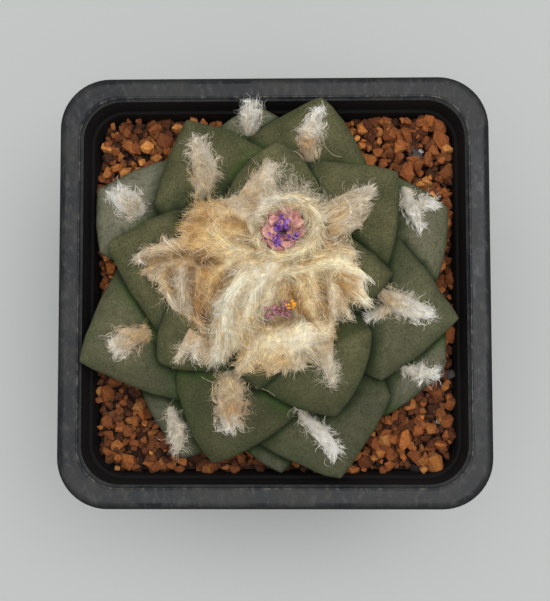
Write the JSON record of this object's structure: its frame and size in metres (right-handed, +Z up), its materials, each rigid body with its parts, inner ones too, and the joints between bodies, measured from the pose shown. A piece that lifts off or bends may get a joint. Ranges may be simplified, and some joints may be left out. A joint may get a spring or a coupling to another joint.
{
  "type": "living rock cactus in a square pot",
  "caption": "Low rosette cactus of kite-shaped grey-green tubercles with woolly tufts, a cream woolly crown and two small flowers, in grit in a square black plastic pot.",
  "frame": {"origin": "the middle of the pot's underside, on the surface that it stands on", "axes": "+Z up, -Y toward the pot's front side, +X to the right seen from the front"},
  "size_m": [0.098, 0.098, 0.1075],
  "materials": {
    "black_plastic": "scuffed black polypropylene with a dull sheen",
    "brick_grit": "crushed terracotta chips of 2 to 4 mm, dusty and matte",
    "cactus_skin": "grey-green skin, firm and mealy",
    "cream_wool": "dense matted wool, cream with golden tan",
    "white_wool": "loose white wool",
    "salmon_tepals": "thin matte salmon-pink tepals",
    "violet_petals": "crumpled violet petals",
    "rose_petals": "small crumpled rose petals",
    "orange_stamens": "matte orange-yellow stamens"
  },
  "bodies": {
    "root": {"pot": "black_plastic", "grit": "brick_grit", "cactus": "cactus_skin", "crown_wool": "cream_wool", "flower_outer_tepals": "salmon_tepals", "flower_inner_petals": "violet_petals", "second_flower_petals": "rose_petals", "second_flower_stamens": "orange_stamens", "wool_tuft_north": "white_wool", "wool_tuft_north_east": "white_wool", "wool_tuft_north_west": "white_wool", "wool_tuft_west_north": "white_wool", "wool_tuft_east_north": "white_wool", "wool_tuft_east": "white_wool", "wool_tuft_east_south": "white_wool", "wool_tuft_south_east": "white_wool", "wool_tuft_south": "white_wool", "wool_tuft_south_west": "white_wool", "wool_tuft_west_south": "white_wool"}
  },
  "joints": []
}
